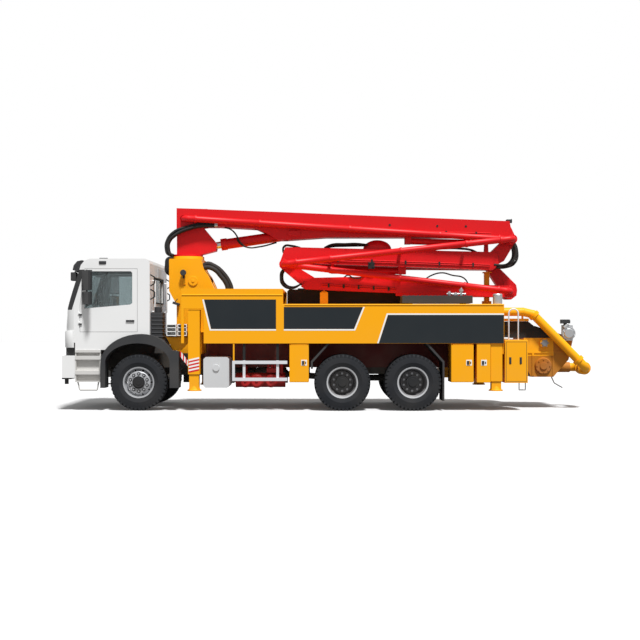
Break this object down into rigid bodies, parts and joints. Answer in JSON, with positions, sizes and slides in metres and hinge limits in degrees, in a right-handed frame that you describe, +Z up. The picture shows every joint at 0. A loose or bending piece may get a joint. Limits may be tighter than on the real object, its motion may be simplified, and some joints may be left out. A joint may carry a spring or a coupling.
{
  "type": "concrete pump truck",
  "caption": "Three-axle truck with a day cab, a concrete pump with rear hopper, outriggers and a red folding placing boom stowed over a yellow body.",
  "frame": {"origin": "on the ground under the middle of the truck's overall length and width", "axes": "+X towards the cab, +Y to the truck's left, +Z up"},
  "size_m": [10.244, 2.88, 3.98],
  "materials": {
    "red_paint": "gloss paint",
    "yellow_paint": "gloss paint",
    "white_paint": "gloss paint",
    "dark_red": "matt paint",
    "grey_plastic": "grained",
    "black_rubber": "matt",
    "tyre": "matt",
    "rim_grey": "satin paint",
    "aluminium": "brushed",
    "steel": "machined",
    "glass": "clear",
    "lamp": "clear lens",
    "cast": "rough",
    "chrome": "polished"
  },
  "bodies": {
    "truck": {"chassis_frame": "dark_red", "engine_block": "cast", "front_axle": "cast", "rear_axles": "cast", "tanks": "aluminium", "side_rails": "aluminium", "cab_shell": "white_paint", "cab_glass": "glass", "cab_interior": "grey_plastic", "bumper": "white_paint", "headlamps": "lamp", "cab_steps": "grey_plastic", "fenders": "grey_plastic", "roof_items": "grey_plastic", "pedestal": "yellow_paint", "side_bodies": "yellow_paint", "deck": "yellow_paint", "bearers": "yellow_paint", "water_tank": "grey_plastic", "boom_rest": "yellow_paint", "tool_boxes": "yellow_paint", "hopper": "yellow_paint", "splash_guard": "black_rubber", "delivery_pipe": "yellow_paint", "pump_unit": "steel"},
    "knuckle_left": {"knuckle_left": "cast"},
    "front_wheel_left": {"front_rim_left": "rim_grey", "front_tyre_left": "tyre"},
    "rear1_wheel_left": {"rear1_rim_left": "rim_grey", "rear1_tyre_left": "tyre"},
    "rear2_wheel_left": {"rear2_rim_left": "rim_grey", "rear2_tyre_left": "tyre"},
    "door_left": {"door_left": "white_paint"},
    "front_lid_left": {"front_lid_left": "yellow_paint"},
    "rear_lid_left": {"rear_lid_left": "yellow_paint"},
    "front_beam_left": {"front_beam_left": "yellow_paint"},
    "front_leg_left": {"front_leg_left": "yellow_paint"},
    "rear_leg_left": {"rear_leg_left": "yellow_paint"},
    "knuckle_right": {"knuckle_right": "cast"},
    "front_wheel_right": {"front_rim_right": "rim_grey", "front_tyre_right": "tyre"},
    "rear1_wheel_right": {"rear1_rim_right": "rim_grey", "rear1_tyre_right": "tyre"},
    "rear2_wheel_right": {"rear2_rim_right": "rim_grey", "rear2_tyre_right": "tyre"},
    "door_right": {"door_right": "white_paint"},
    "front_lid_right": {"front_lid_right": "yellow_paint"},
    "rear_lid_right": {"rear_lid_right": "yellow_paint"},
    "front_beam_right": {"front_beam_right": "yellow_paint"},
    "front_leg_right": {"front_leg_right": "yellow_paint"},
    "rear_leg_right": {"rear_leg_right": "yellow_paint"},
    "grate": {"hopper_grate": "steel"},
    "turret": {"turret": "red_paint"},
    "arm1": {"arm1": "red_paint"},
    "arm2": {"arm2": "red_paint"},
    "arm3": {"arm3": "red_paint"},
    "arm4": {"arm4": "red_paint"},
    "lift_barrel": {"lift_barrel": "red_paint"},
    "lift_rod": {"lift_rod": "chrome"}
  },
  "joints": [
    {"name": "steer_left", "type": "hinge", "parent": "truck", "child": "knuckle_left", "pos_m": [3.673, 0.905, 0.538], "axis": [0, 0, 1], "range_deg": [-38, 38]},
    {"name": "front_spin_left", "type": "hinge", "parent": "knuckle_left", "child": "front_wheel_left", "pos_m": [3.673, 1.015, 0.538], "axis": [0, 1, 0], "continuous": true},
    {"name": "rear1_spin_left", "type": "hinge", "parent": "truck", "child": "rear1_wheel_left", "pos_m": [-0.227, 0.9085, 0.538], "axis": [0, 1, 0], "continuous": true},
    {"name": "rear2_spin_left", "type": "hinge", "parent": "truck", "child": "rear2_wheel_left", "pos_m": [-1.577, 0.9085, 0.538], "axis": [0, 1, 0], "continuous": true},
    {"name": "door_left_swing", "type": "hinge", "parent": "truck", "child": "door_left", "pos_m": [4.797, 1.164, 1.7], "axis": [0, 0, -1], "range_deg": [0, 70]},
    {"name": "front_lid_left_lift", "type": "hinge", "parent": "truck", "child": "front_lid_left", "pos_m": [0.598, 1.232, 1.267], "axis": [1, 0, 0], "range_deg": [0, 85]},
    {"name": "rear_lid_left_lift", "type": "hinge", "parent": "truck", "child": "rear_lid_left", "pos_m": [-2.517, 1.232, 1.267], "axis": [1, 0, 0], "range_deg": [0, 85]},
    {"name": "front_beam_left_extend", "type": "slide", "parent": "truck", "child": "front_beam_left", "axis": [0, 1, 0], "range_m": [0, 1.25]},
    {"name": "front_leg_left_down", "type": "slide", "parent": "front_beam_left", "child": "front_leg_left", "axis": [0, 0, -1], "range_m": [0, 0.55]},
    {"name": "rear_leg_left_down", "type": "slide", "parent": "truck", "child": "rear_leg_left", "axis": [0, 0, -1], "range_m": [0, 0.5]},
    {"name": "steer_right", "type": "hinge", "parent": "truck", "child": "knuckle_right", "pos_m": [3.673, -0.905, 0.538], "axis": [0, 0, 1], "range_deg": [-38, 38]},
    {"name": "front_spin_right", "type": "hinge", "parent": "knuckle_right", "child": "front_wheel_right", "pos_m": [3.673, -1.015, 0.538], "axis": [0, 1, 0], "continuous": true},
    {"name": "rear1_spin_right", "type": "hinge", "parent": "truck", "child": "rear1_wheel_right", "pos_m": [-0.227, -0.9085, 0.538], "axis": [0, 1, 0], "continuous": true},
    {"name": "rear2_spin_right", "type": "hinge", "parent": "truck", "child": "rear2_wheel_right", "pos_m": [-1.577, -0.9085, 0.538], "axis": [0, 1, 0], "continuous": true},
    {"name": "door_right_swing", "type": "hinge", "parent": "truck", "child": "door_right", "pos_m": [4.797, -1.164, 1.7], "axis": [0, 0, 1], "range_deg": [0, 70]},
    {"name": "front_lid_right_lift", "type": "hinge", "parent": "truck", "child": "front_lid_right", "pos_m": [0.598, -1.232, 1.267], "axis": [-1, 0, 0], "range_deg": [0, 85]},
    {"name": "rear_lid_right_lift", "type": "hinge", "parent": "truck", "child": "rear_lid_right", "pos_m": [-2.517, -1.232, 1.267], "axis": [-1, 0, 0], "range_deg": [0, 85]},
    {"name": "front_beam_right_extend", "type": "slide", "parent": "truck", "child": "front_beam_right", "axis": [0, -1, 0], "range_m": [0, 1.25]},
    {"name": "front_leg_right_down", "type": "slide", "parent": "front_beam_right", "child": "front_leg_right", "axis": [0, 0, -1], "range_m": [0, 0.55]},
    {"name": "rear_leg_right_down", "type": "slide", "parent": "truck", "child": "rear_leg_right", "axis": [0, 0, -1], "range_m": [0, 0.5]},
    {"name": "grate_lift", "type": "hinge", "parent": "truck", "child": "grate", "pos_m": [-3.837, 0, 1.405], "axis": [0, 1, 0], "range_deg": [0, 80]},
    {"name": "slew", "type": "hinge", "parent": "truck", "child": "turret", "pos_m": [2.864, 0, 3.013], "axis": [0, 0, -1], "range_deg": [-185, 185]},
    {"name": "arm1_lift", "type": "hinge", "parent": "turret", "child": "arm1", "pos_m": [2.928, 0, 3.769], "axis": [0, 1, 0], "range_deg": [0, 85]},
    {"name": "arm2_unfold", "type": "hinge", "parent": "arm1", "child": "arm2", "pos_m": [-3.62631, 0, 3.34515], "axis": [0, 1, 0], "range_deg": [0, 180]},
    {"name": "arm3_unfold", "type": "hinge", "parent": "arm2", "child": "arm3", "pos_m": [0.91571, 0, 2.84932], "axis": [0, -1, 0], "range_deg": [0, 180]},
    {"name": "arm4_unfold", "type": "hinge", "parent": "arm3", "child": "arm4", "pos_m": [-3.60781, 0, 2.31473], "axis": [0, -1, 0], "range_deg": [0, 235]},
    {"name": "lift_barrel_tilt", "type": "hinge", "parent": "arm1", "child": "lift_barrel", "pos_m": [0.983, 0, 3.434], "axis": [0, 1, 0], "range_deg": [-6, 8]},
    {"name": "lift_rod_out", "type": "slide", "parent": "lift_barrel", "child": "lift_rod", "axis": [0.9898, 0, -0.1422], "range_m": [0, 1.15]}
  ],
  "couplings": [
    {"joint": "steer_right", "follows": "steer_left", "ratio": 1},
    {"joint": "slew", "follows": "arm1_lift", "ratio": 0.5},
    {"joint": "arm2_unfold", "follows": "arm1_lift", "ratio": 0.3},
    {"joint": "arm3_unfold", "follows": "arm1_lift", "ratio": 0.6},
    {"joint": "arm4_unfold", "follows": "arm1_lift", "ratio": 1.5},
    {"joint": "lift_barrel_tilt", "follows": "arm1_lift", "ratio": -0.01202},
    {"joint": "lift_rod_out", "follows": "arm1_lift", "m_per_rad": 0.7248}
  ]
}
